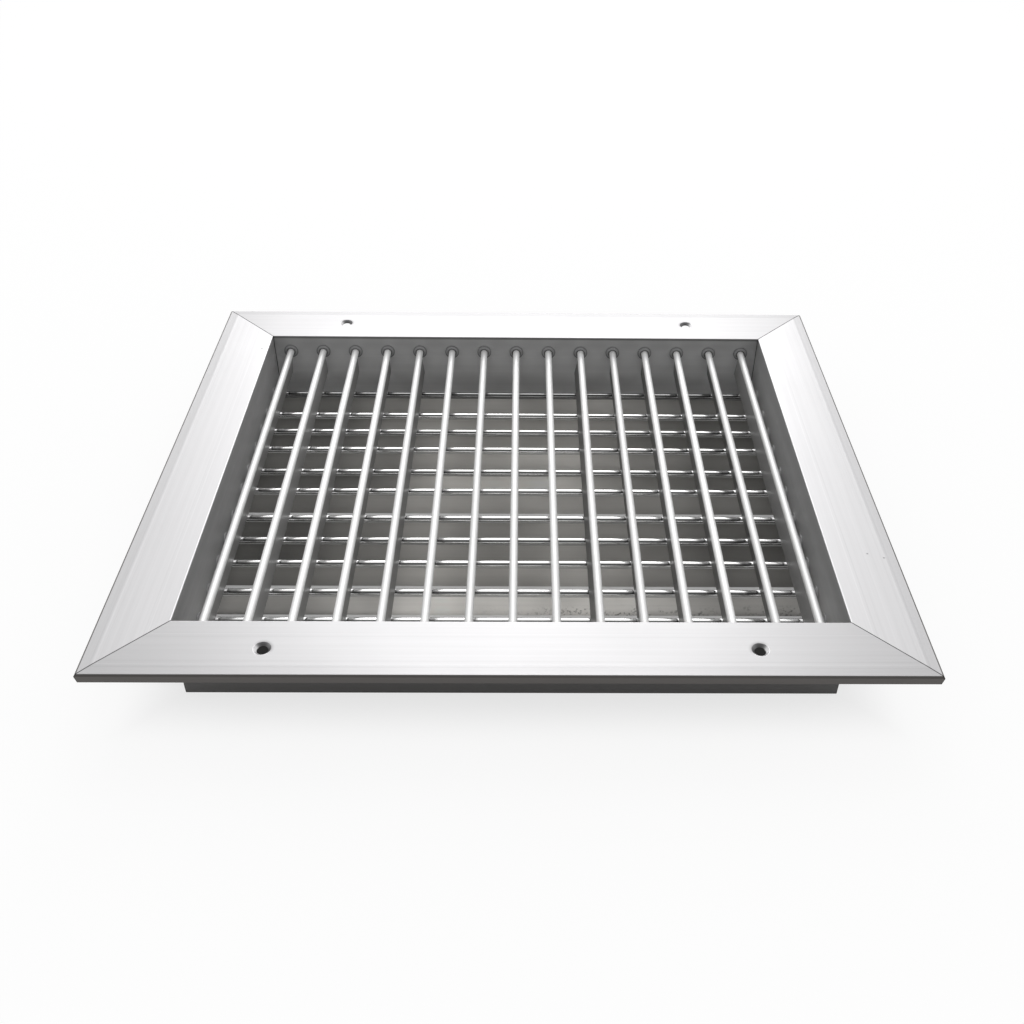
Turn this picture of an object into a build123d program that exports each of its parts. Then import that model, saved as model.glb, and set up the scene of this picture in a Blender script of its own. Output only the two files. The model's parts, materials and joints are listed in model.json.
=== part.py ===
from build123d import *
import os

# Double deflection supply grille, in millimetres.
# The face looks up (+Z), X runs along the long side, and the neck's rear edge stands on Z = 0
# with the origin at the middle of the throat.

# Throat, the clear opening that the air comes through
throat_x = 300.0
throat_y = 250.0
neck_depth = 45.0

# Frame extrusion: flange, neck and outer lip in one section
flange_width = 32.7
flange_wall = 1.6
neck_wall = 1.4
lip_depth = 5.0
lip_wall = 1.4
lip_lean = 0.5
bevel_width = 5.0
bevel_drop = 0.3
edge_roll = 0.9
edge_radius = 0.4
throat_radius = 0.6
root_chamfer = 0.6
mitre_gap = 0.2

# Channel under the flange, and the corner keys that slide into it
channel_inset = 9.4
channel_width = 16.4
hook_wall = 1.0
hook_toe = 1.0
key_wall = 1.6
key_leg = 42.0
key_clearance = 0.1

# Fixing screws through the flange
screw_spacing = 214.0
screw_inset = 17.0
screw_radius = 2.5
screw_recess_radius = 3.9
screw_recess_angle = 100.0

# Blade extrusion: round nose with a square bore for the pivot pins, tapered web, eased tail
blade_chord = 16.8
nose_radius = 2.0
web_root = 1.6
web_tail = 1.0
tail_chamfer = 0.3
bore_side = 2.0

# Front row: blades along Y, nearest the room
front_count = 15
front_pitch = 20.0
front_recess = 8.3

# Rear row: blades along X, behind the front row
rear_pitch = 20.0
rear_recess = 28.0
rear_first_gap = 10.0

# Rest angle of each front blade in degrees, from left to right
front_tilts = (4, -4, -2, -2, -7, 1, 0, 0, 0, 11, 2, 3, 0, -5, 7)

# Rest angle of every rear blade in degrees
rear_tilt = 0

# How far each rear blade stands off the even pitch, from the near side to the far side
rear_drifts = (0.0, 0.4, 0.5, 1.9, 0.0, -1.8, 1.9, -0.2, 1.3, -0.6, -2.9, 0.3)

# Pivots: thrust disc, barrel for the hole in the neck, and square pin for the blade's bore.
# Discs, barrels and their holes are ten-sided, within 0.25 mm of a circle at these sizes.
pivot_sides = 10
disc_radius = 4.3
disc_wall = 1.0
barrel_radius = 2.4
barrel_clearance = 0.08
barrel_reach = 1.2
end_play = 0.1
pin_length = 8.0
pin_clearance = 0.05

# Heights and places that follow from the sizes above
under_flange_z = neck_depth - flange_wall
rim_z = neck_depth - lip_depth
front_axis_z = neck_depth - front_recess - nose_radius
rear_axis_z = neck_depth - rear_recess - nose_radius
hole_radius = barrel_radius + barrel_clearance
blade_end_gap = end_play + disc_wall
channel_depth = key_wall + 2 * key_clearance
front_row = [front_pitch * (i - (front_count - 1) / 2) for i in range(front_count)]
rear_row = [
    rear_first_gap - throat_y / 2 + rear_pitch * i + drift for i, drift in enumerate(rear_drifts)
]

right = Vector(1, 0, 0)
far = Vector(0, 1, 0)
up = Vector(0, 0, 1)


def frame_section(section_plane):
    """Section of the frame extrusion, with x outward from the throat face and y up."""
    lip_outer = flange_width - lip_lean
    lip_inner = lip_outer - lip_wall
    bevel_x = flange_width - edge_roll
    bevel_y = neck_depth - bevel_drop
    rib_foot = under_flange_z - channel_depth - hook_wall
    inner_rib = channel_inset - hook_wall
    outer_rib = channel_inset + channel_width
    with BuildSketch(section_plane) as section:
        with BuildLine():
            Polyline(
                (0, 0),
                (0, neck_depth),
                (bevel_x - bevel_width, neck_depth),
                (bevel_x, bevel_y),
                (flange_width, bevel_y - edge_roll),
                (lip_outer, rim_z),
                (lip_inner, rim_z),
                (lip_inner, under_flange_z),
                (neck_wall, under_flange_z),
                (neck_wall, 0),
                close=True,
            )
        make_face()
        fillet(section.vertices().group_by(Axis.X)[0].sort_by(Axis.Y)[-1], throat_radius)
        fillet(section.vertices().sort_by_distance((flange_width, bevel_y))[:2], edge_radius)
        inside = section.vertices().sort_by_distance((neck_wall, under_flange_z))[:1]
        inside += section.vertices().sort_by_distance((lip_inner, under_flange_z))[:1]
        chamfer(inside, root_chamfer)
        # Two hooked ribs under the flange hold the corner keys.
        with Locations((inner_rib, rib_foot), (outer_rib, rib_foot)):
            Rectangle(hook_wall, under_flange_z - rib_foot, align=(Align.MIN, Align.MIN))
        with Locations((inner_rib, rib_foot), (outer_rib - hook_toe, rib_foot)):
            Rectangle(hook_wall + hook_toe, hook_wall, align=(Align.MIN, Align.MIN))
    return section.sketch


def frame_member(label, outward, row, throat_width, throat_length, places, axis_z, screws=()):
    """One length of the frame extrusion, mitred at both ends and punched for its blade pivots.

    outward points away from the throat, and row is the axis that the blades are spaced along.
    """
    wall_mid = outward * (throat_width / 2)
    along = outward.cross(up)
    section = frame_section(Plane(wall_mid, x_dir=outward, z_dir=along))
    with BuildPart() as member:
        extrude(section, amount=throat_length / 2 + flange_width, both=True)
        for side in (-1, 1):
            corner = wall_mid + row * (side * throat_length / 2)
            normal = (row * side - outward).normalized()
            split(bisect_by=Plane(corner - normal * (mitre_gap / 2), z_dir=normal), keep=Keep.BOTTOM)
        with BuildSketch(Plane(wall_mid + up * axis_z, x_dir=row, z_dir=outward)):
            with Locations(*[(place, 0) for place in places]):
                RegularPolygon(hole_radius, pivot_sides, major_radius=False)
        extrude(amount=neck_wall, mode=Mode.SUBTRACT)
        screw_line = wall_mid + outward * screw_inset + up * neck_depth
        for place in screws:
            with Locations(Plane(screw_line + row * place, z_dir=up)):
                CounterSinkHole(
                    screw_radius, screw_recess_radius, counter_sink_angle=screw_recess_angle
                )
    member.part.label = label
    return member.part


def blade(label, axis_mid, along, length, tilt):
    """Blade extrusion centred on axis_mid, turned by tilt degrees about its pivot axis."""
    across = up.cross(along).rotate(Axis((0, 0, 0), along), tilt)
    tail_y = nose_radius - blade_chord
    with BuildPart() as vane:
        with BuildSketch(Plane(axis_mid, x_dir=across, z_dir=along)) as section:
            with BuildLine():
                Polyline(
                    (-web_root / 2, 0),
                    (-web_tail / 2, tail_y),
                    (web_tail / 2, tail_y),
                    (web_root / 2, 0),
                    close=True,
                )
            make_face()
            chamfer(section.vertices().group_by(Axis.Y)[0], tail_chamfer)
            Circle(nose_radius)
            Rectangle(bore_side, bore_side, mode=Mode.SUBTRACT)
        extrude(amount=length / 2, both=True)
    vane.part.label = label
    return vane.part


def pivot_pair(label, wall_point, outward, tilt):
    """The two nylon pivots of one blade: the one at wall_point, and its mirror image opposite."""
    turned_up = up.rotate(Axis((0, 0, 0), outward), tilt)
    seat = Plane(wall_point - outward * blade_end_gap, x_dir=turned_up, z_dir=outward)
    pin_side = bore_side - 2 * pin_clearance
    with BuildPart() as pair:
        with BuildSketch(seat):
            RegularPolygon(disc_radius, pivot_sides)
        extrude(amount=disc_wall)
        with BuildSketch(seat):
            RegularPolygon(barrel_radius, pivot_sides)
        extrude(amount=blade_end_gap + neck_wall + barrel_reach)
        with BuildSketch(seat):
            Rectangle(pin_side, pin_side)
        extrude(amount=-pin_length)
        mirror(about=Plane(origin=(0, 0, 0), z_dir=outward))
    pair.part.label = label
    return pair.part


def corner_keys(label):
    """The four L-shaped plates that slide into the flange channel and join the mitred corners."""
    key_x = throat_x / 2 + channel_inset + key_clearance
    key_y = throat_y / 2 + channel_inset + key_clearance
    key_width = channel_width - 2 * key_clearance
    plate_plane = Plane.XY.offset(under_flange_z - key_clearance - key_wall)
    with BuildPart() as keys:
        with BuildSketch(plate_plane):
            with Locations((key_x + key_width, key_y + key_width)):
                Rectangle(key_leg, key_width, align=(Align.MAX, Align.MAX))
                Rectangle(key_width, key_leg, align=(Align.MAX, Align.MAX))
        extrude(amount=key_wall)
        mirror(about=Plane.YZ)
        mirror(about=Plane.XZ)
    keys.part.label = label
    return keys.part


screw_places = (-screw_spacing / 2, screw_spacing / 2)
pieces = [
    frame_member(
        "frame_front", -far, right, throat_y, throat_x, front_row, front_axis_z, screw_places
    ),
    frame_member(
        "frame_back", far, right, throat_y, throat_x, front_row, front_axis_z, screw_places
    ),
    frame_member("frame_left", -right, far, throat_x, throat_y, rear_row, rear_axis_z),
    frame_member("frame_right", right, far, throat_x, throat_y, rear_row, rear_axis_z),
    corner_keys("corner_keys"),
]

for number, (x, tilt) in enumerate(zip(front_row, front_tilts), start=1):
    axis_mid = Vector(x, 0, front_axis_z)
    length = throat_y - 2 * blade_end_gap
    pieces.append(blade(f"front_blade_{number:02}", axis_mid, far, length, tilt))
    wall_point = axis_mid + far * (throat_y / 2)
    pieces.append(pivot_pair(f"front_pivots_{number:02}", wall_point, far, tilt))

for number, y in enumerate(rear_row, start=1):
    axis_mid = Vector(0, y, rear_axis_z)
    length = throat_x - 2 * blade_end_gap
    wall_point = axis_mid + right * (throat_x / 2)
    pieces.append(blade(f"rear_blade_{number:02}", axis_mid, right, length, rear_tilt))
    pieces.append(pivot_pair(f"rear_pivots_{number:02}", wall_point, right, rear_tilt))

os.makedirs("parts", exist_ok=True)
for piece in pieces:
    export_step(piece, f"parts/{piece.label}.step")
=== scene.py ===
"""Looks of a double deflection supply grille: frame, two rows of blades, pivots, corner keys and studio.

Everything is in metres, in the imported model's frame: +Z is out of the duct, +X along the rear blades.
"""
import json
from math import atan2, cos, pi, radians, sin, sqrt

import bpy
import numpy as np
from bpy.props import FloatProperty, FloatVectorProperty, IntProperty, PointerProperty
from bpy.types import Operator, Panel, PropertyGroup
from mathutils import Matrix, Vector


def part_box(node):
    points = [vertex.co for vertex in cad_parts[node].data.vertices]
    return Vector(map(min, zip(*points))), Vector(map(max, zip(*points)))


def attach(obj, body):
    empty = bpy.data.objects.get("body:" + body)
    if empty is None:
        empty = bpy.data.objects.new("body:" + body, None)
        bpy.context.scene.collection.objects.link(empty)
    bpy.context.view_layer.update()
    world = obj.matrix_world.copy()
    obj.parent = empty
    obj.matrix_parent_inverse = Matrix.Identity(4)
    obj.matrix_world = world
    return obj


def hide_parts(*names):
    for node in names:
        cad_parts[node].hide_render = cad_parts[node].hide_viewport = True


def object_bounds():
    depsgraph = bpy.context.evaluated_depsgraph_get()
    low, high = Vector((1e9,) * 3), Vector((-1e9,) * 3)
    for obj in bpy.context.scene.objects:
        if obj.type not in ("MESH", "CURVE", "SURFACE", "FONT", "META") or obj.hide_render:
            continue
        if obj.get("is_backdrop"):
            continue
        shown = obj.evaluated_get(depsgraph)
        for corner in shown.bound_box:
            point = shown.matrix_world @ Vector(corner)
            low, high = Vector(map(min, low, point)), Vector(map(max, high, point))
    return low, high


bl_info = {
    "name": "Supply Grille",
    "version": (1, 0, 0),
    "blender": (4, 5, 0),
    "location": "View3D > Sidebar > Grille",
    "description": "Dresses a double deflection supply grille and sets it in a plain studio",
    "category": "Object",
}

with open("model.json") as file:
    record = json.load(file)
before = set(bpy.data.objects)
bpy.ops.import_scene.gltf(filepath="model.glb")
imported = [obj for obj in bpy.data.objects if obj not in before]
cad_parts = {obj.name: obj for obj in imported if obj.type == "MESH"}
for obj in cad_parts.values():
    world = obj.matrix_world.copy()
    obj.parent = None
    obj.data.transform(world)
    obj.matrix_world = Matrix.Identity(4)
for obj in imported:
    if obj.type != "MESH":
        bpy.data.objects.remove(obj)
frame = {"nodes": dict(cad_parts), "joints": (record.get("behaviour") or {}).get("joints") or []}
cad_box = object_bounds()
joint_of = {joint["child"]: joint for joint in frame["joints"]}
up = Vector((0, 0, 1))

IMAGE_SIDE = 1024
SENSOR = 36.0
ALONG_X, ALONG_Y = 0, 1
WHITE = (1.0, 1.0, 1.0, 1.0)

# Meshes: where an edge is sharp, steps of a rounded edge and of the floor's rim, and how far out along a
# blade its tail begins, as a share of its reach
SHARP_ANGLE = radians(30)
EDGE_STEPS = 4
FLOOR_STEPS = 96
TAIL_START = 0.99

# The groups below hold the fixed numbers of the materials. A pair says where a tone starts to turn and
# where it has turned. Places, lengths and heights over the neck's rear edge are in metres. A noise has its
# stretch along X, Y and Z, and a shift that keeps it apart from the others. _LIGHT and _ROUGH are what a
# noise is multiplied by for the lightness and the roughness. Where they are a pair, the second is added.

# Drawn metal: stretch of the fine grain and of the die streaks, along them and across
GRAIN, GRAIN_LIGHT, GRAIN_ROUGH, GRAIN_DEPTH = (0.04, 0.0007), 0.08, 0.08, 0.00001
STREAK, STREAK_LIGHT, STREAK_SHIFT = (0.60, 0.0022), 0.12, 3.1
PLAIN_LIGHT = 0.90

# Lines that the die leaves on the flange, the first of them a painted highlight near the throat's edge:
# their place across its width, and how light they are
DIE_LINES = (
    (0.02, 0.95), (0.25, 0.80), (0.30, 0.25), (0.52, 0.60),
    (0.62, 0.42), (0.75, 0.30), (0.80, 0.70), (0.85, 0.25),
)
LINE_HALF, LINE_LIGHT, LINE_DEPTH = 0.012, 0.25, 0.00002

# Frame: painted light and shade on the throat's walls, and painted shade on the neck's outside and the
# lip, by height or by distance
THROAT_TURN = (0.041, 0.026)
THROAT_FOOT, THROAT_FOOT_SHADE = (0.010, 0.022), 0.68
SHORT_WALL, SHORT_WALL_LIGHT = (0.041, 0.030), 1.22
CREST, CREST_SHADE = (0.0430, 0.0440), 0.45
NECK_TOP, NECK_TOP_SHADE = (0.011, 0.025), 0.25
LIP_START = (0.020, 0.022)

# Frame: which way a surface faces, by how far its normal points away from the middle or up
FACES_OUT = (-0.01, 0.01)
FACES_DOWN = (-0.2, -0.6)
FACES_UP = (0.715, 0.76)
RECESS_UP = (0.3, 0.5)

# Frame: dark mitre lines and spots, the painted shade and the painted highlight beside each screw hole,
# and the painted shade on the rolled edge. The aim points from a hole to its painted shade, towards the
# middle of the member and to the back.
MITRE, SPOT, DARK_TONE = (0.0002, 0.0006), (0.0002, 0.0007), 0.45
RECESS_FADE = 0.0002
DIMPLE_SHADE_AIM = (-0.6, 0.8)
DIMPLE_SHADE_SIDE, DIMPLE_SHADE_CORE = (-0.0008, 0.0022), 0.40
GLINT_SIDE, GLINT_GAIN = (0.0010, -0.0010), 1.9
ROLL_START = 1.3
FRAME_CLOUD, FRAME_CLOUD_ROUGH = {"stretch": (0.05, 0.05, 0.05), "detail": 2.0, "shift": 7.7}, 0.10

# Small marks on the short flanges, in metres along X and Y
SPOTS = ((0.1686, -0.0784), (0.1758, -0.0814), (-0.1540, 0.1096))

# Blades of both rows: where the nose begins, as a height over the pivot axis, and their noises
NOSE_FOOT = (-0.0020, -0.0017)
BLADE_CLOUD, BLADE_CLOUD_ROUGH = {"stretch": (0.03, 0.03, 0.03), "detail": 2.0, "shift": 7.7}, 0.12
BLADE_BAND, BAND_LIGHT, BAND_SHIFT = (0.02, 1.0), (0.5, 0.75), 4.2
BLADE_GRAIN_DEPTH = 0.000004

# Painted light and shade on the webs of the front row from left to right: their place along X in metres,
# and how light they are. The ramp is TONE_SPAN wide about the middle, and its white stands for TONE_TOP.
WEB_LIGHT_AND_SHADE = (
    (-0.105, 1.38), (-0.095, 1.0), (0.025, 1.0), (0.035, 0.74), (0.127, 0.66), (0.133, 1.34),
)
TONE_SPAN = 0.30
TONE_TOP = 1.4

# Rear row: painted light on the webs near the front, and dark patches in their lower half
NEAR_WEBS, NEAR_LIGHT = (-0.062, -0.070), (1.2, 0.2)
DARK_PATCHES = {"stretch": (0.0011, 0.02, 0.0013), "detail": 2.0, "roughness": 0.6, "shift": 1.3}
DARK_PATCHES_EDGE, DARK_PATCHES_LIGHT = (0.50, 0.64), -0.55
SPREAD, SPREAD_EDGE = {"stretch": (0.011, 0.02, 0.005), "detail": 1.0, "shift": 6.2}, (0.42, 0.58)
DARK_PATCHES_ALONG, DARK_PATCHES_BELOW = (-0.03, 0.05), (-0.006, -0.012)

# Rear row: patches on the webs, painted light in their middle and painted shade at their ends, and the web
# with painted light in its middle, with half its width
PATCH, PATCH_LIGHT = {"stretch": (0.045, 0.045, 0.045), "detail": 1.0, "shift": 9.4}, (0.8, 0.6)
WEB_MIDDLE, MIDDLE_LIGHT = (0.085, 0.030), 1.05
WEB_END, END_SHADE = (0.085, 0.105), 0.72
BRIGHT_WEB, BRIGHT_HALF = 0.0248, (0.0040, 0.0030)

# Rear row: painted light and dark bands along a nose in place of its reflections, with their height over
# its axis in nose radii and how light they are
PAINTED_NOSE_BANDS = (
    (-1.00, 0.60), (0.15, 0.60), (0.28, 1.0), (0.48, 1.0), (0.58, 0.32), (0.81, 0.32), (0.88, 1.0),
)
# Rear row: painted shade on the nose at the back wall
FAR_NOSE, FAR_NOSE_SHADE = (0.099, 0.102), 0.40

# Pivots: the mould's orange peel, the disc's rim and the ring with their painted shade as shares of their
# radii, the throat's wall along X inside which the rear pivots carry painted light, and the height between
# the two rows
PEEL, PEEL_LIGHT = {"stretch": (0.0006, 0.0006, 0.0006), "detail": 2.0}, (0.3, 0.85)
PEEL_ROUGH, PEEL_DEPTH = (0.15, -0.07), 0.00002
DISC_RIM, RIM_SHADE = (0.84, 0.92), 0.62
HUB_CORE, HUB_SHADE = 0.9, 0.35
THROAT_WALL, REAR_PIVOT_LIGHT = (0.1505, 0.1500), 2.2
BETWEEN_ROWS = (0.022, 0.026)

# Zinc plating
SPANGLE, SPANGLE_DEPTH = {"stretch": (0.004, 0.004, 0.004), "detail": 1.0}, 0.00002
SPANGLE_LIGHT, SPANGLE_ROUGH = (0.4, 0.8), (0.2, 0.25)

# Floor: its parts near the front and behind along Y, and the turns past the neck's outside
MOTTLE, MOTTLE_LIGHT = {"stretch": (0.4, 0.4, 0.4), "detail": 2.0}, (0.02, 0.99)
NEAR_FLOOR, FLOOR_BEHIND = (-0.0750, -0.0790), (0.10, 0.12)
NECK_FOOT = (0.0, -0.002)
BEHIND_START = 0.75
THROAT_FLOOR, THROAT_SEEN = (-0.003, -0.001), 0.3

# Room that metal shows, by how far the line of sight points ahead, aside and up, where 1 is straight: the
# white panel behind and overhead, and the backdrop
PANEL_AHEAD, PANEL_ASIDE, PANEL_ABOVE = (-0.25, 0.10), (0.78, 0.42), (0.05, 0.30)
BACKDROP_ABOVE, BACKDROP_ASIDE = (0.50, 0.32), (0.66, 0.84)


def size(name, description, default):
    """A property that holds a size in metres."""
    return FloatProperty(name=name, description=description, default=default, min=0.0,
                         precision=5, subtype="DISTANCE", unit="LENGTH")


def tone(name, description, default):
    """A property that holds a linear colour."""
    return FloatVectorProperty(name=name, description=description, default=default, size=3,
                               min=0.0, max=1.0, subtype="COLOR")


def share(name, description, default):
    """A property that holds a share from 0 to 1."""
    return FloatProperty(name=name, description=description, default=default, min=0.0, max=1.0,
                         subtype="FACTOR")


def gain(name, description, default):
    """A property that holds a factor from 0 up."""
    return FloatProperty(name=name, description=description, default=default, min=0.0)


def power(name, description, watts):
    """A property that holds the power of a lamp."""
    return FloatProperty(name=name, description=description, default=watts, min=0.0, subtype="POWER",
                         unit="POWER")


def angle(name, description, degrees):
    """A property that holds an angle."""
    return FloatProperty(name=name, description=description, default=radians(degrees),
                         subtype="ANGLE", unit="ROTATION")


class GrilleBlades(PropertyGroup):
    nose_radius: size("Nose Radius", "Radius of the round nose", 0.0020)
    web_root: size("Web Root", "Thickness of the web at the nose", 0.0016)
    web_tail: size("Web Tail", "Thickness of the web at its free edge", 0.0010)
    tail_chamfer: size("Tail Chamfer", "Chamfer on both edges of the tail", 0.0003)
    bore_side: size("Bore Side", "Side of the square bore through the nose", 0.0020)
    end_break: size("End Break", "Broken edge at both sawn ends", 0.00012)
    nose_steps: IntProperty(name="Nose Steps", description="Facets round the nose", default=48, min=12)
    # The front row's dark web colour is painted shade, and the rear row's lighter one painted light, on
    # the same satin metal
    front_metal: tone("Front Metal", "Colour of the satin webs of the front row", (0.24, 0.238, 0.236))
    rear_metal: tone("Rear Metal", "Colour of the satin webs of the rear row", (0.60, 0.587, 0.563))
    nose_metal: tone("Nose Metal", "Colour of the smooth noses of both rows", (0.86, 0.86, 0.855))
    roughness: share("Roughness", "Roughness of the satin web", 0.36)
    front_nose: share("Front Nose Roughness", "Roughness of the noses of the front row", 0.46)
    rear_nose: share("Rear Nose Roughness", "Roughness of the noses of the rear row", 0.17)
    front_web: share("Front Web Sheen", "How metallic the webs of the front row are", 0.15)
    rear_web: share("Rear Web Sheen", "How metallic the webs of the rear row are", 1.0)
    front_gloss: share("Front Gloss", "Specular level of the front row", 0.15)
    rear_gloss: share("Rear Gloss", "Specular level of the rear row", 0.5)
    front_sheen: share("Front Nose Sheen", "How metallic the front row's noses are", 0.50)
    rear_sheen: share("Rear Nose Sheen", "How metallic the rear row's noses are", 0.97)
    # Painted light on the rear webs near the front
    near_web_light: gain("Near Web Light", "How much brighter the rear webs near the front are", 0.68)
    # Painted light on the middle of one rear web, and painted shade beside the middle of all of them
    bright_web_light: gain("Bright Web Light", "How much brighter the brightest rear web is", 0.80)
    web_side_shade: share("Web Side Shade", "How light the rear webs are beside their middle", 0.72)


class GrillePivots(PropertyGroup):
    pin_side: size("Pin Side", "Side of the square pin in the blade's bore", 0.0019)
    pin_length: size("Pin Length", "Length of the pin in the blade's bore", 0.0080)
    hub_radius: size("Hub Radius", "Radius of the raised ring round the pin", 0.0029)
    hub_height: size("Hub Height", "Height of the raised ring over the disc", 0.0004)
    disc_radius: size("Disc Radius", "Radius of the thrust disc", 0.0043)
    disc_wall: size("Disc Wall", "Thickness of the thrust disc with its ring", 0.0010)
    barrel_radius: size("Barrel Radius", "Radius of the barrel in the neck's hole", 0.0024)
    edge_round: size("Edge Round", "Moulded rounding of the edges", 0.00015)
    turn_steps: IntProperty(name="Turn Steps", description="Facets round the axis", default=40, min=12)
    nylon: tone("Nylon", "Colour of the nylon", (0.27, 0.27, 0.272))
    roughness: share("Roughness", "Roughness of the nylon", 0.34)


class GrilleFrame(PropertyGroup):
    metal: tone("Metal", "Colour of the satin face of the flange", (0.49, 0.486, 0.492))
    # The throat's colour is turned by painted light and shade further down, and the dark colours of the
    # lip and of the neck's outside and underside are painted shade
    throat: tone("Throat", "Colour of the walls of the throat", (0.46, 0.46, 0.46))
    lip: tone("Lip", "Colour of the outside of the lip", (0.112, 0.105, 0.100))
    neck: tone("Neck", "Colour of the neck's outside and the underside", (0.160, 0.157, 0.154))
    roughness: share("Roughness", "Roughness of the satin face", 0.38)
    wall_roughness: share("Wall Roughness", "Roughness of the walls", 0.58)
    wall_metallic: share("Wall Metallic", "How metallic the walls are under their milky oxide", 0.70)
    # Painted shade on the throat's short walls
    painted_short_wall_shade: share("Short Wall Shade", "How light the throat's short walls are", 0.65)
    # Painted light on the flanges of the two short members
    short_flange_light: gain("Short Flange Light", "How much brighter the two short members are", 1.20)
    throat_x: size("Throat X", "Half the throat along the long side", 0.150)
    throat_y: size("Throat Y", "Half the throat along the short side", 0.125)
    screw_x: size("Screw X", "Half the spacing of the screws along the long side", 0.107)
    screw_y: size("Screw Y", "Half the spacing of the screws along the short side", 0.142)
    edge_roll: size("Edge Roll", "Width of the rolled outer edge", 0.0009)
    recess_radius: size("Recess Radius", "Radius of the recess for a screw's head", 0.0039)
    # Painted shade on one side of each screw hole: its radius and how light it is
    dimple_shade_radius: size("Dimple Shade Radius", "Radius of the dark rub on one side of a screw hole", 0.0056)
    dimple_shade_tone: share("Dimple Shade Tone", "How light the dark rub is beside its screw hole", 0.34)
    # Painted light lower down in the throat
    painted_depth_light: gain("Painted Depth Light", "How much brighter the throat is lower down", 0.95)
    zinc: tone("Zinc", "Colour of the zinc plated corner keys", (0.55, 0.56, 0.58))


class GrilleStage(PropertyGroup):
    camera_place: FloatVectorProperty(
        name="Camera Place", description="Where the camera stands", size=3,
        default=(0.00387, -0.47752, 0.38845), subtype="TRANSLATION", unit="LENGTH",
    )
    elevation: angle("Elevation", "How far down the camera looks", 38.112)
    yaw: angle("Yaw", "Turn of the camera to the right", 1.043)
    roll: angle("Roll", "Tilt of the camera about its line of sight", 0.910)
    focal_pixels: FloatProperty(
        name="Focal Pixels", description="Focal length in pixels of the picture", default=1108.6, min=1.0,
    )
    centre_column: FloatProperty(
        name="Centre Column", description="Pixel column of the optical axis", default=537.7,
    )
    centre_row: FloatProperty(
        name="Centre Row", description="Pixel row of the optical axis", default=502.1,
    )
    world_light: gain("World Light", "Strength of the even light all round", 0.80)
    front_glow: share("Front Glow", "Strength of the dim rest of the room, as metal shows it", 0.26)
    horizon_glow: share("Horizon Glow", "Strength of the backdrop, as metal shows it", 0.80)
    near_glow: share("Near Glow", "How white metal shows the throat's floor near the front", 0.30)
    throat_glow: share("Throat Glow", "How white metal shows the rest of the throat's floor", 0.07)
    foot_glow: share("Foot Glow", "Share of the floor's white along the foot of the neck", 0.80)
    floor_glow: share("Floor Glow", "How far the floor shows as white round the grille", 0.88)
    eaves: size("Eaves", "Width of the darker floor along the neck's foot, under the flange", 0.032)
    neck_x: size("Neck X", "Half the neck's outside along the long side", 0.1514)
    neck_y: size("Neck Y", "Half the neck's outside along the short side", 0.1264)
    lamp_power: power("Lamp Power", "Power of the soft lamp overhead", 2.6)
    lamp_distance: size("Lamp Distance", "Distance of the soft lamp from the grille", 1.6)
    lamp_elevation: angle("Lamp Elevation", "Height of the soft lamp over the floor as an angle", 64.0)
    lamp_width: size("Lamp Width", "Width of the soft lamp", 0.9)
    lamp_depth: size("Lamp Depth", "Depth of the soft lamp", 0.6)
    box_power: power("Softbox Power", "Power of the softbox behind", 4.8)
    box_distance: size("Softbox Distance", "Distance of the softbox from the grille", 1.63)
    box_elevation: angle("Softbox Elevation", "Height of the softbox over the floor as an angle", 34.0)
    box_width: size("Softbox Width", "Width of the softbox", 1.05)
    box_depth: size("Softbox Depth", "Depth of the softbox", 0.8)
    floor_radius: size("Floor Radius", "Radius of the round floor", 6.0)
    floor: tone("Floor", "Colour of the plain pale floor", (0.95, 0.95, 0.95))


def mesh_piece(name, points, faces):
    """A shown object with outward faces, smooth across edges that turn less than SHARP_ANGLE."""
    mesh = bpy.data.meshes.new(name)
    mesh.from_pydata(points, [], faces)
    mesh.polygons.foreach_set("use_smooth", np.ones(len(mesh.polygons), dtype=bool))
    mesh.set_sharp_from_angle(angle=SHARP_ANGLE)
    piece = bpy.data.objects.new(name, mesh)
    bpy.context.scene.collection.objects.link(piece)
    return piece


def dress(piece, *materials):
    """Gives the piece these materials, in the order of its slots."""
    piece.data.materials.clear()
    for material in materials:
        piece.data.materials.append(material)


def grid_faces(rows, columns, rows_closed=False):
    """Quads between neighbours of a rows by columns grid, closed round its columns.

    With rows_closed, the last row is joined to the first one too.
    """
    row = np.arange(rows if rows_closed else rows - 1)[:, None]
    column = np.arange(columns)[None, :]
    row_after = (row + 1) % rows
    column_after = (column + 1) % columns
    corners = (
        row * columns + column, row * columns + column_after,
        row_after * columns + column_after, row_after * columns + column,
    )
    return np.stack(corners, axis=-1).reshape(-1, 4)


def carried(stations, origin, across, above, along):
    """Points of flat rings, each at its station along the axis, in the plane of across and above."""
    origin, plane, along = np.array(origin), np.array([across, above]), np.array(along)
    return np.vstack([origin + ring @ plane + station * along for ring, station in stations])


def squared(ring, side):
    """The ring with each of its points moved along its radius onto a square about the axis."""
    return ring * (side / 2 / np.abs(ring).max(axis=1, keepdims=True))


def drawn_in(ring, amount):
    """The clockwise ring moved inwards by amount, at right angles to itself."""
    ahead = np.roll(ring, -1, axis=0) - ring
    behind = ring - np.roll(ring, 1, axis=0)
    run = ahead / np.linalg.norm(ahead, axis=1, keepdims=True)
    run += behind / np.linalg.norm(behind, axis=1, keepdims=True)
    run /= np.linalg.norm(run, axis=1, keepdims=True)
    return ring + amount * run[:, ::-1] * (1, -1)


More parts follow.
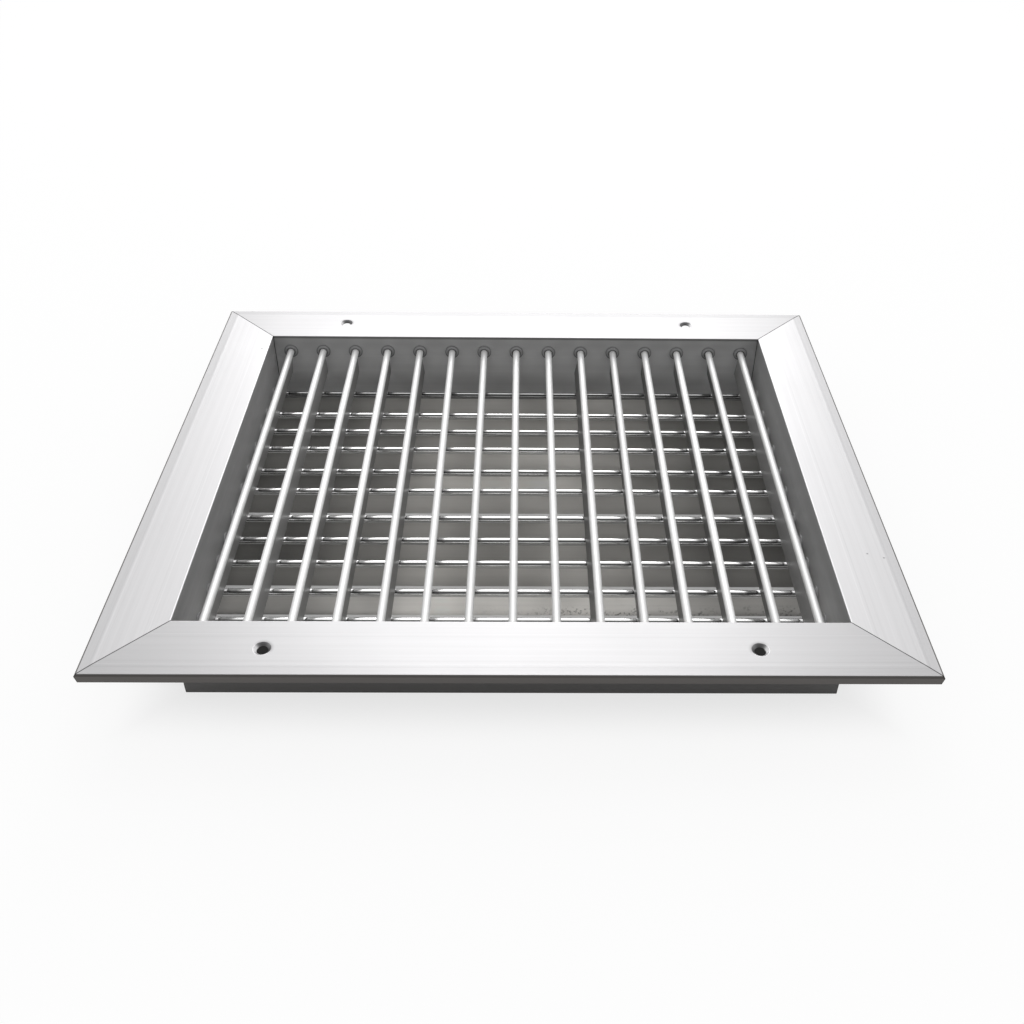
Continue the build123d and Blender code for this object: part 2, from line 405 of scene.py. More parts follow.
def eased(corners, ease):
    """The open line of corners with each inner one replaced by a quadratic curve ease long each way."""
    corner = corners[1:-1]
    before = corners[:-2] - corner
    after = corners[2:] - corner
    before *= ease / np.linalg.norm(before, axis=1, keepdims=True)
    after *= ease / np.linalg.norm(after, axis=1, keepdims=True)
    t = np.linspace(0, 1, EDGE_STEPS)[None, :, None]
    curve = corner[:, None] + (1 - t) ** 2 * before[:, None] + t ** 2 * after[:, None]
    return np.vstack([corners[:1], curve.reshape(-1, 2), corners[-1:]])


def hang(node):
    """Unit vectors across and up the blade of that node, and its reach below the pivot axis."""
    joint = joint_of[node]
    axis = Vector(joint["axis"])
    vertices = frame["nodes"][node].data.vertices
    away = np.empty(len(vertices) * 3, np.float32)
    vertices.foreach_get("co", away)
    away = away.reshape(-1, 3) - np.array(joint["pos_m"])
    side, height = away @ np.array(up.cross(axis)), away[:, 2]
    reach = np.hypot(side, height)
    tail = reach > TAIL_START * reach.max()
    turn = Matrix.Rotation(atan2(side[tail].mean(), -height[tail].mean()), 3, axis)
    above = turn @ up
    return turn @ up.cross(axis), above, -float((away @ np.array(above)).min())


def span(node, joint):
    """Middle of that node on the joint's axis, and half its length along the axis."""
    axis = Vector(joint["axis"])
    low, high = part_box(node)
    middle = Vector(joint["pos_m"])
    middle += axis * ((low + high) / 2 - middle).dot(axis)
    return middle, (high - low).dot(axis) / 2


def blade_ring(blades, reach):
    """Outline of a blade as clockwise (across, up) points about the pivot axis.

    The nose is an arc about the axis, up to where it meets the faces of the web. The web narrows evenly
    to its tail, and the tail's two edges are chamfered.
    """
    half_root, half_tail, ease = blades.web_root / 2, blades.web_tail / 2, blades.tail_chamfer
    slope = (half_root - half_tail) / reach
    square = 1 + slope ** 2
    inner = sqrt((half_root * slope) ** 2 - square * (half_root ** 2 - blades.nose_radius ** 2))
    meet_up = -(half_root * slope + inner) / square
    meet = atan2(half_root + slope * meet_up, meet_up)
    turn = np.linspace(-meet, meet, blades.nose_steps + 1)
    nose = blades.nose_radius * np.column_stack([np.sin(turn), np.cos(turn)])
    tail = [
        (half_tail + slope * ease, ease - reach),
        (half_tail - ease, -reach),
        (ease - half_tail, -reach),
        (-half_tail - slope * ease, ease - reach),
    ]
    return np.vstack([nose, tail])


def make_blade(node, blades, metal):
    """A vane in place of that node: its outline carried along the pivot axis.

    The surface is a grid that closes on itself. It runs along the outside, over the broken edge and the
    sawn end into the square bore, back through the bore, and over the other end. The outline is
    clockwise, so the faces of the grid are turned over to face out.
    """
    joint = joint_of[node]
    across, above, reach = hang(node)
    origin, half = span(node, joint)
    outside = blade_ring(blades, reach)
    ease = blades.end_break
    broken = drawn_in(outside, ease)
    bore = squared(outside, blades.bore_side)
    stations = ((outside, ease - half), (outside, half - ease), (broken, half),
                (bore, half), (bore, -half), (broken, -half))
    points = carried(stations, origin, across, above, joint["axis"])
    faces = grid_faces(len(stations), len(outside), rows_closed=True)[:, ::-1]
    piece = mesh_piece(f"{node}_vane", points, faces)
    dress(piece, metal)
    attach(piece, node)
    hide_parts(node)


def make_pivots(node, pivots, nylon):
    """Both pivots of one blade: a line of (station, radius) turned about the pivot axis.

    The line runs from the square pin over the raised ring and the disc to the end of the barrel, with
    rounded edges. The pin's rings are squared, and the other pivot is the mirror image. The points keep
    their distance from the axis as the attribute radius, which the nylon's tones follow.
    """
    body = node.replace("pivots", "blade")
    joint = joint_of[body]
    across, above, _ = hang(body)
    origin, half = span(node, joint)
    _, blade_end = span(body, joint)
    disc_end = blade_end + pivots.disc_wall
    line = np.array([
        (blade_end, pivots.pin_side / 2),
        (blade_end, pivots.hub_radius),
        (blade_end + pivots.hub_height, pivots.hub_radius),
        (blade_end + pivots.hub_height, pivots.disc_radius),
        (disc_end, pivots.disc_radius),
        (disc_end, pivots.barrel_radius),
        (half, pivots.barrel_radius),
        (half, pivots.barrel_radius / 2),
    ])
    line = eased(line, pivots.edge_round)
    turn = np.linspace(0, 2 * pi, pivots.turn_steps, endpoint=False)
    circle = np.column_stack([np.cos(turn), np.sin(turn)])
    pin = squared(circle, pivots.pin_side)
    stations = [(pin, blade_end - pivots.pin_length), (pin, blade_end)]
    stations += [(circle * radius, station) for station, radius in line]
    columns = len(circle)
    faces = grid_faces(len(stations), columns).tolist()
    last = (len(stations) - 1) * columns
    faces += [list(range(columns))[::-1], list(range(last, last + columns))]
    near = carried(stations, origin, across, above, joint["axis"])
    opposite = [(ring, -station) for ring, station in stations]
    far = carried(opposite, origin, across, above, joint["axis"])
    mirrored = [[corner + len(near) for corner in face[::-1]] for face in faces]
    points = np.vstack([near, far])
    piece = mesh_piece(f"{node}_pair", points, faces + mirrored)
    off_axis = np.linalg.norm(np.cross(points - np.array(origin), joint["axis"]), axis=1)
    radius = piece.data.attributes.new("radius", "FLOAT", "POINT")
    radius.data.foreach_set("value", off_axis.astype(np.float32))
    dress(piece, nylon)
    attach(piece, body)
    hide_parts(node)


class Shading:
    """The node tree of one new material or world, built from its texture coordinates to its output."""

    def __init__(self, owner):
        self.owner = owner
        owner.use_nodes = True
        self.tree = owner.node_tree
        self.tree.nodes.clear()
        self.coordinates = self.add("ShaderNodeTexCoord").outputs
        self.place = self.coordinates["Object"]
        self.x, self.y, self.z = self.split(self.place)

    def add(self, kind, inputs=None, **values):
        """A node with these settings, and its inputs by name or number set to values or linked."""
        node = self.tree.nodes.new(kind)
        for key, value in values.items():
            setattr(node, key, value)
        for key, value in (inputs or {}).items():
            if isinstance(value, bpy.types.NodeSocket):
                self.tree.links.new(value, node.inputs[key])
            else:
                node.inputs[key].default_value = value
        return node

    def math(self, operation, first, second=0.0, third=0.0):
        """One step of arithmetic."""
        inputs = {0: first, 1: second, 2: third}
        return self.add("ShaderNodeMath", inputs, operation=operation).outputs[0]

    def times(self, value, *factors):
        """The value times each of the factors."""
        for factor in factors:
            value = self.math("MULTIPLY", value, factor)
        return value

    def stray(self, value, source, amount):
        """The value plus amount times how far the source is over 0.5."""
        return self.math("MULTIPLY_ADD", self.math("SUBTRACT", source, 0.5), amount, value)

    def vector_math(self, operation, first, second=(0.0, 0.0, 0.0)):
        """Outputs of one step of arithmetic with vectors."""
        return self.add("ShaderNodeVectorMath", {0: first, 1: second}, operation=operation).outputs

    def split(self, vector):
        """The three parts of a vector."""
        return self.add("ShaderNodeSeparateXYZ", {0: vector}).outputs

    def past(self, half_x, half_y):
        """How far a point is past half_x along X, and past half_y along Y, to either side."""
        return [
            self.math("SUBTRACT", self.math("ABSOLUTE", place), half)
            for place, half in ((self.x, half_x), (self.y, half_y))
        ]

    def rays(self):
        """Whether a ray is the camera's, and whether metal or glass has sent it on."""
        path = self.add("ShaderNodeLightPath").outputs
        sent_on = self.math("MAXIMUM", path["Is Glossy Ray"], path["Is Transmission Ray"])
        return path["Is Camera Ray"], sent_on

    def noise(self, stretch, detail=3.0, roughness=0.55, shift=0.0):
        """Noise whose spots are about stretch long along X, Y and Z."""
        inputs = {"Vector": self.place, "Scale": [1 / s for s in stretch], "Location": (shift,) * 3}
        mapping = self.add("ShaderNodeMapping", inputs)
        inputs = {"Vector": mapping.outputs[0], "Scale": 1.0, "Detail": detail, "Roughness": roughness}
        return self.add("ShaderNodeTexNoise", inputs).outputs[0]

    def ramp(self, source, *stops):
        """Grey that follows the (position, grey) stops."""
        node = self.add("ShaderNodeValToRGB", {0: source})
        elements = node.color_ramp.elements
        while len(elements) < len(stops):
            elements.new(1.0)
        for element, (position, grey) in zip(elements, stops):
            element.position = position
            element.color = (grey, grey, grey, 1.0)
        return node.outputs[0]

    def tint(self, colour, factor):
        """The colour times a grey factor, which may be over 1."""
        inputs = {0: colour, "Scale": factor}
        return self.add("ShaderNodeVectorMath", inputs, operation="SCALE").outputs[0]

    def blend(self, share, first, second):
        """The first colour where share is 0, turning into the second where it is 1."""
        first, second = (
            c if isinstance(c, bpy.types.NodeSocket) else (*c, 1.0) for c in (first, second)
        )
        inputs = {"Factor": share, 6: first, 7: second}
        return self.add("ShaderNodeMix", inputs, data_type="RGBA").outputs[2]

    def between(self, share, first, second):
        """The first number where share is 0, turning into the second where it is 1."""
        return self.add("ShaderNodeMix", {0: share, 2: first, 3: second}).outputs[0]

    def smooth_step(self, source, low, high):
        """0 below low and 1 above high, with a smooth turn between them."""
        inputs = {"Value": source, "From Min": low, "From Max": high}
        return self.add("ShaderNodeMapRange", inputs, interpolation_type="SMOOTHSTEP").outputs[0]

    def bump(self, height, distance, below=None):
        """Normals of a surface that rises by up to distance with height."""
        inputs = {"Height": height, "Strength": 1.0, "Distance": distance}
        if below is not None:
            inputs["Normal"] = below
        return self.add("ShaderNodeBump", inputs).outputs[0]

    def finish(self, gloss=0.5, **inputs):
        """Ends the tree in a surface with this specular level and these inputs, and returns its owner."""
        named = {key.replace("_", " ").title(): value for key, value in inputs.items()}
        named["Specular IOR Level"] = gloss
        surface = self.add("ShaderNodeBsdfPrincipled", named)
        self.add("ShaderNodeOutputMaterial", {"Surface": surface.outputs[0]})
        return self.owner


def grained(axis, lengthwise, crosswise):
    """Stretch that is lengthwise along one axis and crosswise along the other two."""
    return [lengthwise if i == axis else crosswise for i in range(3)]


def drawn_grain(shading, axis):
    """Fine grain along one axis, and the lightness that it and the broader die streaks give."""
    fine = shading.noise(grained(axis, *GRAIN))
    streak = shading.noise(grained(axis, *STREAK), shift=STREAK_SHIFT)
    light = shading.math("MULTIPLY_ADD", fine, GRAIN_LIGHT, PLAIN_LIGHT)
    return fine, shading.math("MULTIPLY_ADD", streak, STREAK_LIGHT, light)


def frame_tones(shading, axis, part, across, neck_edge, recess):
    """Colour of the extrusion before its grain, and 1 on the flange's face or 0 elsewhere.

    Painted light and shade: the throat's walls get lighter lower down and darker again at their foot. The
    short ones are darker, and the long ones have painted shade along the flange. Walls that face out are
    the neck's outside and the lip, whose dark colours are painted shade, deeper on the neck towards the
    flange. The underside has the neck's tone.
    """
    normal = shading.coordinates["Normal"]
    rise = shading.split(normal)["Z"]
    out = shading.vector_math("DOT_PRODUCT", shading.place, normal)["Value"]
    # Painted light lower down on the throat's walls, and painted shade at their foot
    deep = shading.smooth_step(shading.z, *THROAT_TURN)
    deep = shading.math("MULTIPLY_ADD", deep, part.painted_depth_light, 1.0)
    foot = shading.between(shading.smooth_step(shading.z, *THROAT_FOOT), THROAT_FOOT_SHADE, 1.0)
    throat = shading.tint(part.throat, shading.times(deep, foot))
    # Painted shade on the short walls, and along the flange on the long ones
    if axis == ALONG_Y:
        turned = shading.smooth_step(shading.z, *SHORT_WALL)
        wall = shading.between(turned, part.painted_short_wall_shade, SHORT_WALL_LIGHT * part.painted_short_wall_shade)
    else:
        wall = shading.between(shading.smooth_step(shading.z, *CREST), 1.0, CREST_SHADE)
    throat = shading.tint(throat, wall)
    # Painted shade on the neck's outside, deeper towards the flange; the lip's dark colour is painted
    # shade too
    neck = shading.between(shading.smooth_step(shading.z, *NECK_TOP), 1.0, NECK_TOP_SHADE)
    neck = shading.tint(part.neck, neck)
    lip = shading.smooth_step(across, *(neck_edge + distance for distance in LIP_START))
    outside = shading.blend(lip, neck, part.lip)
    walls = shading.blend(shading.smooth_step(out, *FACES_OUT), throat, outside)
    walls = shading.blend(shading.smooth_step(rise, *FACES_DOWN), walls, part.neck)
    face = shading.smooth_step(rise, *FACES_UP)
    recess = shading.times(recess, shading.smooth_step(rise, *RECESS_UP))
    face = shading.math("MAXIMUM", face, recess)
    return shading.blend(face, walls, part.metal), face


def die_lines(shading, across, throat_edge, width):
    """Lightness of the lines that the die leaves along the flange, and of a painted highlight near the
    throat's edge, 0.5 between them.
    """
    inset = shading.math("DIVIDE", shading.math("SUBTRACT", across, throat_edge), width)
    stops = []
    for place, grey in DIE_LINES:
        stops += [(place - LINE_HALF, 0.5), (place, grey), (place + LINE_HALF, 0.5)]
    return shading.ramp(inset, *stops)


def frame_satin(axis, node, part):
    """Satin anodised extrusion: grain and die lines along one axis, dark mitre lines and small spots.

    Each screw hole has painted shade on one side of it and a painted highlight in its recess on the other.
    The short members carry painted light, and painted shade on their rolled outer edge.
    """
    shading = Shading(bpy.data.materials.new(f"frame_satin_{'xy'[axis]}"))
    low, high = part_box(node)
    edge, rim = sorted((abs(low[1 - axis]), abs(high[1 - axis])))
    across = shading.math("ABSOLUTE", (shading.y, shading.x)[axis])
    fine, light = drawn_grain(shading, axis)
    lines = die_lines(shading, across, edge, rim - edge)
    light = shading.stray(light, lines, LINE_LIGHT)
    past_x, past_y = shading.past(part.throat_x, part.throat_y)
    off_mitre = shading.math("ABSOLUTE", shading.math("SUBTRACT", past_x, past_y))
    off_mitre = shading.smooth_step(off_mitre, *MITRE)
    # Dark mitre lines, and painted light over the rest of the short members
    light = shading.times(light, shading.between(off_mitre, DARK_TONE, (1.0, part.short_flange_light)[axis]))
    for spot in SPOTS:
        off_spot = shading.vector_math("DISTANCE", shading.place, (*spot, high.z))["Value"]
        off_spot = shading.smooth_step(off_spot, *SPOT)
        light = shading.times(light, shading.between(off_spot, DARK_TONE, 1.0))
    folded = shading.vector_math("ABSOLUTE", shading.place)[0]
    off_screw = shading.vector_math("SUBTRACT", folded, (part.screw_x, part.screw_y, high.z))[0]
    distance = shading.vector_math("LENGTH", off_screw)["Value"]
    recess = shading.smooth_step(distance, part.recess_radius + RECESS_FADE, part.recess_radius)
    # Painted shade on one side of each screw hole, and a painted highlight in its recess on the other
    off_x, off_y, _ = shading.split(off_screw)
    off_y = shading.times(off_y, shading.math("SIGN", shading.y), DIMPLE_SHADE_AIM[1])
    aside = shading.math("MULTIPLY_ADD", off_x, DIMPLE_SHADE_AIM[0], off_y)
    near = shading.smooth_step(distance, part.dimple_shade_radius, DIMPLE_SHADE_CORE * part.dimple_shade_radius)
    dimple_shade = shading.times(shading.smooth_step(aside, *DIMPLE_SHADE_SIDE), near)
    light = shading.times(light, shading.between(dimple_shade, 1.0, part.dimple_shade_tone))
    glint = shading.times(recess, shading.smooth_step(aside, *GLINT_SIDE))
    light = shading.times(light, shading.between(glint, 1.0, GLINT_GAIN))
    colour, face = frame_tones(shading, axis, part, across, edge, recess)
    rough = shading.between(face, part.wall_roughness, part.roughness)
    # Painted shade on the rolled outer edge of the short members, in the lip's dark colour
    if axis == ALONG_Y:
        roll = shading.smooth_step(across, rim - ROLL_START * part.edge_roll, rim - part.edge_roll)
        colour = shading.blend(roll, colour, part.lip)
    rough = shading.stray(rough, shading.noise(**FRAME_CLOUD), FRAME_CLOUD_ROUGH)
    rough = shading.stray(rough, fine, GRAIN_ROUGH)
    metallic = shading.between(face, part.wall_metallic, 1.0)
    normal = shading.bump(lines, LINE_DEPTH, shading.bump(fine, GRAIN_DEPTH))
    return shading.finish(
        base_color=shading.tint(colour, light), metallic=metallic, roughness=rough, normal=normal,
    )


def front_light_and_shade(shading, light, nose):
    """Lightness of the front row, whose webs carry painted light and shade from left to right."""
    place = shading.math("MULTIPLY_ADD", shading.x, 1 / TONE_SPAN, 0.5)
    tones = shading.ramp(place, *((0.5 + x / TONE_SPAN, grey / TONE_TOP) for x, grey in WEB_LIGHT_AND_SHADE))
    tones = shading.times(tones, TONE_TOP)
    return shading.times(light, shading.between(nose, tones, 1.0))


def rear_tones(shading, light, nose, web, above_axis, cloud, blades):
    """Lightness of the rear row.

    The webs nearest the front carry painted light, with dark patches in their lower half. All webs are
    patchy, and painted light and shade make them lighter in their middle than at their ends and give one
    of them a bright middle. Painted light and dark bands along the noses stand in for their reflections,
    and painted shade darkens the nose at the back wall.
    """
    # Painted light on the webs nearest the front, with dark patches in their lower half
    near = shading.times(shading.smooth_step(shading.y, *NEAR_WEBS), web)
    glow = shading.times(near, shading.math("MULTIPLY_ADD", cloud, *NEAR_LIGHT))
    light = shading.times(light, shading.math("MULTIPLY_ADD", glow, blades.near_web_light, 1.0))
    dark_patches = shading.smooth_step(shading.noise(**DARK_PATCHES), *DARK_PATCHES_EDGE)
    spread = shading.smooth_step(shading.noise(**SPREAD), *SPREAD_EDGE)
    along = shading.smooth_step(shading.x, *DARK_PATCHES_ALONG)
    below = shading.smooth_step(above_axis, *DARK_PATCHES_BELOW)
    dark_patches = shading.times(dark_patches, spread, along, below, near)
    light = shading.times(light, shading.math("MULTIPLY_ADD", dark_patches, DARK_PATCHES_LIGHT, 1.0))
    patch = shading.math("MULTIPLY_ADD", shading.noise(**PATCH), *PATCH_LIGHT)
    # Painted light in the middle of the webs, painted shade towards their ends, and painted light in the
    # middle of one web
    off_middle = shading.math("ABSOLUTE", shading.x)
    middle = shading.smooth_step(off_middle, *WEB_MIDDLE)
    patch = shading.times(patch, shading.between(middle, blades.web_side_shade, MIDDLE_LIGHT))
    end = shading.smooth_step(off_middle, *WEB_END)
    patch = shading.times(patch, shading.between(end, 1.0, END_SHADE))
    bright = shading.math("ABSOLUTE", shading.math("SUBTRACT", shading.y, BRIGHT_WEB))
    bright = shading.times(shading.smooth_step(bright, *BRIGHT_HALF), middle)
    patch = shading.times(patch, shading.math("MULTIPLY_ADD", bright, blades.bright_web_light, 1.0))
    # Painted light and dark bands along the noses, in place of their reflections
    level = shading.math("MULTIPLY_ADD", above_axis, 0.5 / blades.nose_radius, 0.5)
    bands = shading.ramp(level, *((0.5 + 0.5 * rise, grey) for rise, grey in PAINTED_NOSE_BANDS))
    light = shading.times(light, shading.between(nose, patch, bands))
    # Painted shade on the nose at the back wall
    far_nose_shade = shading.times(shading.smooth_step(shading.y, *FAR_NOSE), nose)
    return shading.times(light, shading.between(far_nose_shade, 1.0, FAR_NOSE_SHADE))


def blade_satin(row, axis, blades):
    """Satin webs with smooth noses, drawn along one axis, in the tones of their row."""
    shading = Shading(bpy.data.materials.new(f"{row}_blade_satin"))
    height = joint_of[f"{row}_blade_01"]["pos_m"][2]
    above_axis = shading.math("SUBTRACT", shading.z, height)
    nose = shading.smooth_step(above_axis, *NOSE_FOOT)
    web = shading.math("SUBTRACT", 1.0, nose)
    fine, light = drawn_grain(shading, axis)
    cloud = shading.noise(**BLADE_CLOUD)
    # The web colours of the two rows are painted shade on the front row and painted light on the rear row
    colour = shading.blend(nose, getattr(blades, f"{row}_metal"), blades.nose_metal)
    if row == "rear":
        light = rear_tones(shading, light, nose, web, above_axis, cloud, blades)
    else:
        light = front_light_and_shade(shading, light, nose)
    band = shading.noise(grained(1 - axis, *BLADE_BAND), detail=0.0, shift=BAND_SHIFT)
    light = shading.times(light, shading.math("MULTIPLY_ADD", band, *BAND_LIGHT))
    rough = shading.between(nose, blades.roughness, getattr(blades, f"{row}_nose"))
    rough = shading.stray(rough, cloud, BLADE_CLOUD_ROUGH)
    metallic = shading.between(nose, getattr(blades, f"{row}_web"), getattr(blades, f"{row}_sheen"))
    return shading.finish(
        gloss=getattr(blades, f"{row}_gloss"), base_color=shading.tint(colour, light),
        metallic=metallic, roughness=rough,
        normal=shading.bump(shading.times(fine, web), BLADE_GRAIN_DEPTH),
    )


def moulded_nylon(pivots):
    """Grey nylon with the faint orange peel of its mould.

    On the front row, painted shade darkens the disc's rim and the ring round the pin. On the rear row,
    painted light lightens what stands inside the throat.
    """
    shading = Shading(bpy.data.materials.new("moulded_nylon"))
    peel = shading.noise(**PEEL)
    light = shading.math("MULTIPLY_ADD", peel, *PEEL_LIGHT)
    radius = shading.add("ShaderNodeAttribute", attribute_name="radius").outputs["Fac"]
    # Painted shade on the front row's rims and rings, and painted light on the rear row inside the throat
    rim = shading.smooth_step(radius, *(place * pivots.disc_radius for place in DISC_RIM))
    hub = shading.smooth_step(radius, pivots.hub_radius, HUB_CORE * pivots.hub_radius)
    front = shading.times(shading.between(rim, 1.0, RIM_SHADE), shading.between(hub, 1.0, HUB_SHADE))
    inside = shading.smooth_step(shading.math("ABSOLUTE", shading.x), *THROAT_WALL)
    rear = shading.between(inside, 1.0, REAR_PIVOT_LIGHT)
    row = shading.between(shading.smooth_step(shading.z, *BETWEEN_ROWS), rear, front)
    light = shading.times(light, row)
    peel_share, peel_start = PEEL_ROUGH
    rough = shading.math("MULTIPLY_ADD", peel, peel_share, pivots.roughness + peel_start)
    return shading.finish(
        base_color=shading.tint(pivots.nylon, light), roughness=rough,
        normal=shading.bump(peel, PEEL_DEPTH),
    )


def zinc_plate(grille_frame):
    """Zinc plated steel with the mottled spangle of its bath."""
    shading = Shading(bpy.data.materials.new("zinc_plate"))
    spangle = shading.noise(**SPANGLE)
    light = shading.math("MULTIPLY_ADD", spangle, *SPANGLE_LIGHT)
    rough = shading.math("MULTIPLY_ADD", spangle, *SPANGLE_ROUGH)
    return shading.finish(
        base_color=shading.tint(grille_frame.zinc, light), metallic=1.0, roughness=rough,
        normal=shading.bump(spangle, SPANGLE_DEPTH),
    )


class GRILLE_OT_frame(Operator):
    """Give the four mitred members their satin finish, with the grain along each one"""
    bl_idname = "grille.frame"
    bl_label = "Finish Frame"

    def execute(self, context):
        part = context.scene.grille_frame
        members = {ALONG_X: ("frame_front", "frame_back"), ALONG_Y: ("frame_left", "frame_right")}
        for axis, nodes in members.items():
            metal = frame_satin(axis, nodes[0], part)
            for node in nodes:
                dress(frame["nodes"][node], metal)
        return {"FINISHED"}


class GRILLE_OT_corner_keys(Operator):
    """Give the corner keys under the flange their zinc plating"""
    bl_idname = "grille.corner_keys"
    bl_label = "Finish Corner Keys"

    def execute(self, context):
        dress(frame["nodes"]["corner_keys"], zinc_plate(context.scene.grille_frame))
        return {"FINISHED"}


class GRILLE_OT_blades(Operator):
    """Make both rows of blades, each with the grain along its length"""
    bl_idname = "grille.blades"
    bl_label = "Make Blades"

    def execute(self, context):
        blades = context.scene.grille_blades
        for row, axis in (("front", ALONG_Y), ("rear", ALONG_X)):
            metal = blade_satin(row, axis, blades)
            for node in sorted(n for n in frame["nodes"] if n.startswith(f"{row}_blade")):
                make_blade(node, blades, metal)
        return {"FINISHED"}


class GRILLE_OT_pivots(Operator):
    """Make the two nylon pivots of every blade"""
    bl_idname = "grille.pivots"
    bl_label = "Make Pivots"

    def execute(self, context):
        pivots = context.scene.grille_pivots
        nylon = moulded_nylon(pivots)
        for node in sorted(n for n in frame["nodes"] if "pivots" in n):
            make_pivots(node, pivots, nylon)
        return {"FINISHED"}


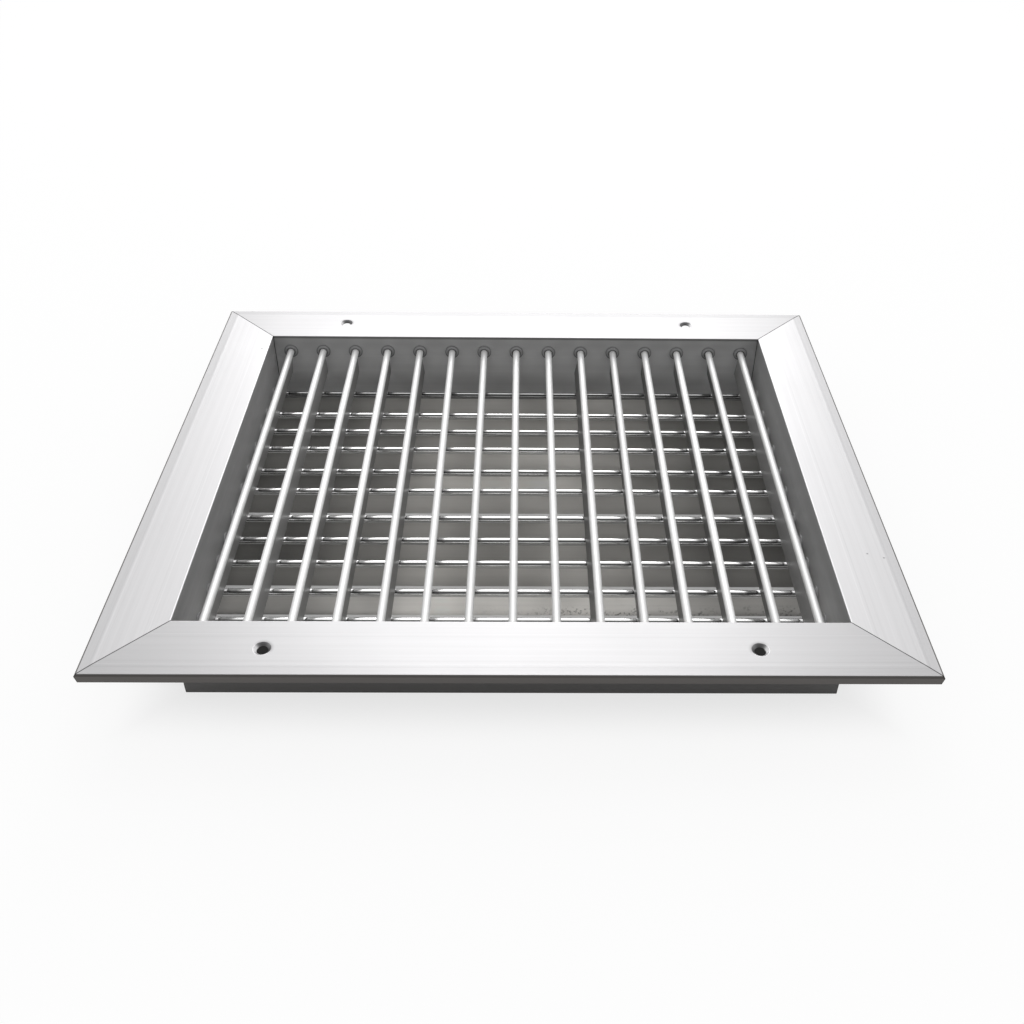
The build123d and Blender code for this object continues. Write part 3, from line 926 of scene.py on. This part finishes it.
class GRILLE_OT_stage(Operator):
    """Set the pale floor, the soft light and the camera"""
    bl_idname = "grille.stage"
    bl_label = "Set Stage"

    def execute(self, context):
        stage = context.scene.grille_stage
        self.lay_floor(stage)
        self.light(context, stage)
        self.aim_camera(context, stage)
        context.scene.view_settings.view_transform = "Standard"
        return {"FINISHED"}

    def lay_floor(self, stage):
        """A round pale floor at the neck's rear edge, which shows as nearly white round the grille.

        Seen by the camera it is darker along the foot of the neck, behind it and inside the throat. Metal
        shows it as white only away from the grille, and faintly inside the throat.
        """
        turn = np.linspace(0, 2 * pi, FLOOR_STEPS, endpoint=False)
        rim = stage.floor_radius * np.column_stack([np.cos(turn), np.sin(turn), 0 * turn])
        floor = mesh_piece("floor", rim, [list(range(len(rim)))])
        shading = Shading(bpy.data.materials.new("pale_floor"))
        light = shading.math("MULTIPLY_ADD", shading.noise(**MOTTLE), *MOTTLE_LIGHT)
        inputs = {"Color": shading.tint(stage.floor, light)}
        plain = shading.add("ShaderNodeBsdfDiffuse", inputs).outputs[0]
        white = shading.add("ShaderNodeEmission", {"Color": WHITE, "Strength": 1.0}).outputs[0]
        past = shading.math("MAXIMUM", *shading.past(stage.neck_x, stage.neck_y))
        camera, mirrored = shading.rays()
        inside = shading.smooth_step(shading.y, *NEAR_FLOOR)
        inside = shading.between(inside, stage.throat_glow, stage.near_glow)
        inside = shading.times(inside, shading.smooth_step(past, *NECK_FOOT))
        outside = shading.smooth_step(past, stage.eaves, 2 * stage.eaves)
        mirrored = shading.times(mirrored, shading.math("MAXIMUM", outside, inside))
        seen = shading.between(shading.smooth_step(past, 0.0, stage.eaves), stage.foot_glow, 1.0)
        behind = shading.smooth_step(past, BEHIND_START * stage.eaves, stage.eaves)
        seen = shading.between(shading.smooth_step(shading.y, *FLOOR_BEHIND), seen, behind)
        throat = shading.between(shading.smooth_step(past, *THROAT_FLOOR), THROAT_SEEN, 1.0)
        seen = shading.times(camera, shading.times(seen, throat))
        glow = shading.times(shading.math("MAXIMUM", mirrored, seen), stage.floor_glow)
        inputs = {0: glow, 1: plain, 2: white}
        surface = shading.add("ShaderNodeMixShader", inputs).outputs[0]
        shading.add("ShaderNodeOutputMaterial", {"Surface": surface})
        dress(floor, shading.owner)
        floor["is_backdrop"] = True

    def light(self, context, stage):
        """Even light all round, an overhead lamp and a softbox behind, all of them soft.

        The camera sees the world as white. Metal shows a white panel behind and overhead, a backdrop that
        is low all round and high at both sides, and a dim room elsewhere.
        """
        context.scene.world = bpy.data.worlds.new("studio")
        shading = Shading(context.scene.world)
        aside, ahead, above = shading.split(shading.coordinates["Generated"])
        aside = shading.math("ABSOLUTE", aside)
        panel = shading.times(
            shading.smooth_step(ahead, *PANEL_AHEAD), shading.smooth_step(aside, *PANEL_ASIDE),
            shading.smooth_step(above, *PANEL_ABOVE),
        )
        low = shading.smooth_step(above, *BACKDROP_ABOVE)
        backdrop = shading.math("MAXIMUM", low, shading.smooth_step(aside, *BACKDROP_ASIDE))
        room = shading.between(backdrop, stage.front_glow, stage.horizon_glow)
        room = shading.between(panel, room, 1.0)
        camera, mirrored = shading.rays()
        strength = shading.between(mirrored, stage.world_light, room)
        strength = shading.between(camera, strength, 1.0)
        background = shading.add("ShaderNodeBackground", {"Color": WHITE, "Strength": strength})
        shading.add("ShaderNodeOutputWorld", {"Surface": background.outputs[0]})
        self.hang_lamp("overhead_lamp", stage.lamp_power, stage.lamp_width, stage.lamp_depth,
                       stage.lamp_distance, stage.lamp_elevation)
        self.hang_lamp("softbox", stage.box_power, stage.box_width, stage.box_depth,
                       stage.box_distance, stage.box_elevation)

    def hang_lamp(self, name, power, width, depth, distance, elevation):
        """A soft rectangular lamp behind or over the grille, which faces its middle."""
        lamp = bpy.data.lights.new(name, "AREA")
        lamp.shape = "RECTANGLE"
        lamp.size, lamp.size_y = width, depth
        lamp.energy = power
        holder = bpy.data.objects.new(name, lamp)
        turn = Matrix.Rotation(elevation - pi / 2, 4, "X")
        holder.matrix_world = turn @ Matrix.Translation((0.0, 0.0, distance))
        bpy.context.scene.collection.objects.link(holder)

    def aim_camera(self, context, stage):
        """The photograph's camera, from its place, its three angles and its optical centre."""
        camera = bpy.data.cameras.new("camera")
        camera.sensor_width = SENSOR
        camera.lens = SENSOR * stage.focal_pixels / IMAGE_SIDE
        camera.shift_x = 0.5 - stage.centre_column / IMAGE_SIDE
        camera.shift_y = stage.centre_row / IMAGE_SIDE - 0.5
        ahead = Vector((sin(stage.yaw) * cos(stage.elevation), cos(stage.yaw) * cos(stage.elevation),
                        -sin(stage.elevation)))
        side = Vector((cos(stage.yaw), -sin(stage.yaw), 0.0))
        above = side.cross(ahead)
        turned_side = side * cos(stage.roll) + above * sin(stage.roll)
        turned_above = above * cos(stage.roll) - side * sin(stage.roll)
        turn = Matrix((turned_side, turned_above, -ahead)).transposed()
        holder = bpy.data.objects.new("camera", camera)
        holder.matrix_world = Matrix.Translation(stage.camera_place) @ turn.to_4x4()
        context.scene.collection.objects.link(holder)
        context.scene.camera = holder


class GRILLE_PT_sidebar(Panel):
    """Lists the steps that dress the grille, with their sizes and colours"""
    bl_idname = "GRILLE_PT_sidebar"
    bl_label = "Supply Grille"
    bl_space_type = "VIEW_3D"
    bl_region_type = "UI"
    bl_category = "Grille"

    def draw(self, context):
        for step in steps:
            self.layout.operator(step.bl_idname)
        for part in parts:
            box = self.layout.box()
            box.label(text=part.title())
            group = getattr(context.scene, f"grille_{part}")
            for name in group.__annotations__:
                box.prop(group, name)


parts = {"frame": GrilleFrame, "blades": GrilleBlades, "pivots": GrillePivots, "stage": GrilleStage}
steps = (GRILLE_OT_frame, GRILLE_OT_corner_keys, GRILLE_OT_blades, GRILLE_OT_pivots, GRILLE_OT_stage)


def register():
    for part, group in parts.items():
        bpy.utils.register_class(group)
        setattr(bpy.types.Scene, f"grille_{part}", PointerProperty(type=group))
    for step in (*steps, GRILLE_PT_sidebar):
        bpy.utils.register_class(step)


def unregister():
    for step in reversed((*steps, GRILLE_PT_sidebar)):
        bpy.utils.unregister_class(step)
    for part, group in parts.items():
        delattr(bpy.types.Scene, f"grille_{part}")
        bpy.utils.unregister_class(group)


def main():
    register()
    bpy.ops.grille.frame()
    bpy.ops.grille.corner_keys()
    bpy.ops.grille.blades()
    bpy.ops.grille.pivots()
    bpy.ops.grille.stage()
    boxes = {"cad": cad_box, "visual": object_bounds()}
    boxes = {name: [list(corner) for corner in box] for name, box in boxes.items()}


if __name__ == "__main__":
    main()
